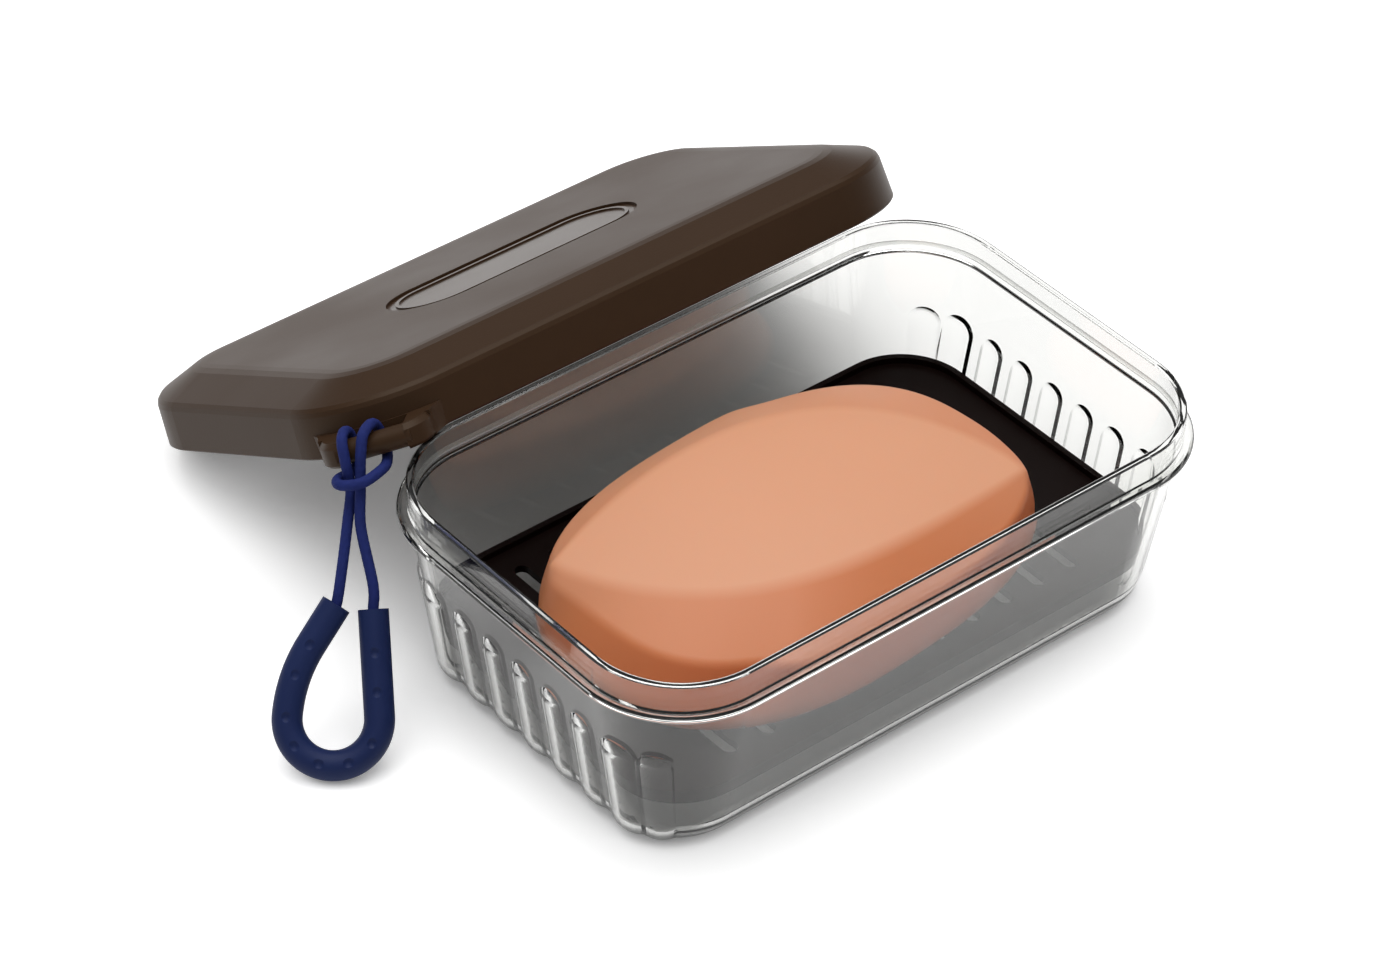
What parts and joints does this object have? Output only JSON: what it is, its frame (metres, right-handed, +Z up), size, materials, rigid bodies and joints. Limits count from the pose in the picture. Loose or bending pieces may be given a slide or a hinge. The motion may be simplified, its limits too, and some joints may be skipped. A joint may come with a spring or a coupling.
{
  "type": "travel soap box",
  "caption": "Clear travel soap box with fluted ends, a dark drain tray, a bar of soap, and its dark lid taken off and leaning on the rim, with a corded pull at one corner.",
  "frame": {"origin": "centre of the tub's flat foot", "axes": "+X along the tub's long side, +Y across it toward the leaning lid, +Z up"},
  "size_m": [0.1511, 0.1491, 0.0471],
  "materials": {
    "clear_plastic": "clear moulded plastic, polished",
    "tray_plastic": "near-black moulded plastic, satin",
    "soap": "peach soap, smooth and slightly waxy",
    "lid_plastic": "dark brown moulded plastic, satin",
    "cord": "blue braided cord",
    "pull_rubber": "navy soft rubber, dimpled"
  },
  "bodies": {
    "tub": {"base_tub": "clear_plastic"},
    "tray": {"drain_tray": "tray_plastic"},
    "soap": {"soap_bar": "soap"},
    "lid_body": {"lid": "lid_plastic"},
    "lanyard": {"lanyard_cord": "cord", "pull": "pull_rubber"}
  },
  "joints": [
    {"name": "tray_lift", "type": "slide", "parent": "tub", "child": "tray", "axis": [0, 0, 1], "range_m": [0, 0.035]},
    {"name": "soap_lift", "type": "slide", "parent": "tray", "child": "soap", "axis": [0, 0, 1], "range_m": [0, 0.04]},
    {"name": "lid_lift", "type": "slide", "parent": "tub", "child": "lid_body", "axis": [0, 0, 1], "range_m": [0, 0.06]},
    {"name": "lanyard_swing", "type": "hinge", "parent": "lid_body", "child": "lanyard", "pos_m": [-0.0566, 0.03916, 0.04157], "axis": [-0.766, 0.5543, -0.3255], "range_deg": [0, 60]}
  ]
}
